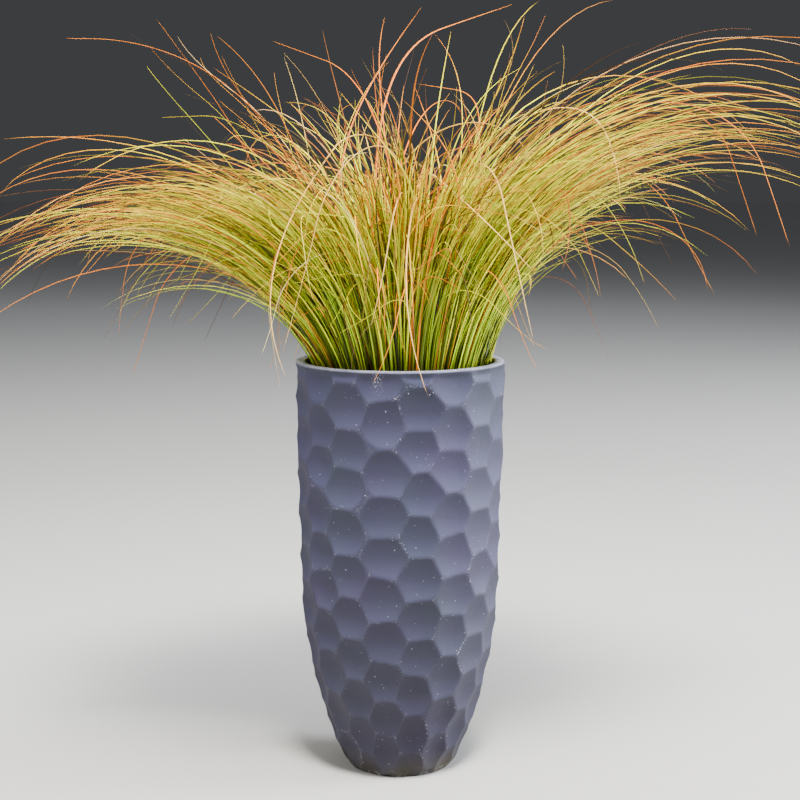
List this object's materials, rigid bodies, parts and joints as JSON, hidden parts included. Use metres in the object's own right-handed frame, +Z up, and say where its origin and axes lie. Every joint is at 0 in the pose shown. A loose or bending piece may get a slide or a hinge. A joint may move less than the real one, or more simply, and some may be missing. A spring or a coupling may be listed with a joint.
{
  "type": "potted ornamental sedge",
  "caption": "Arching tussock of narrow orange and green sedge blades growing in a tall round planter with a dimpled wall, a drained floor and a fill of soil.",
  "frame": {"origin": "centre of the planter's foot, on the surface that it stands on", "axes": "+Z up along the planter's axis; the two heavy lobes of the foliage fall to -X (left) and +X (right); -Y is the front"},
  "size_m": [1.3961, 0.8807, 1.1428],
  "materials": {
    "planter": "matte",
    "soil": "matte",
    "leaves": "satin"
  },
  "bodies": {
    "root": {"planter": "planter", "soil": "soil", "tuft_right": "leaves", "tuft_back_right": "leaves", "tuft_back": "leaves", "tuft_back_left": "leaves", "tuft_left": "leaves", "tuft_front_left": "leaves", "tuft_front": "leaves", "tuft_front_right": "leaves"}
  },
  "joints": []
}
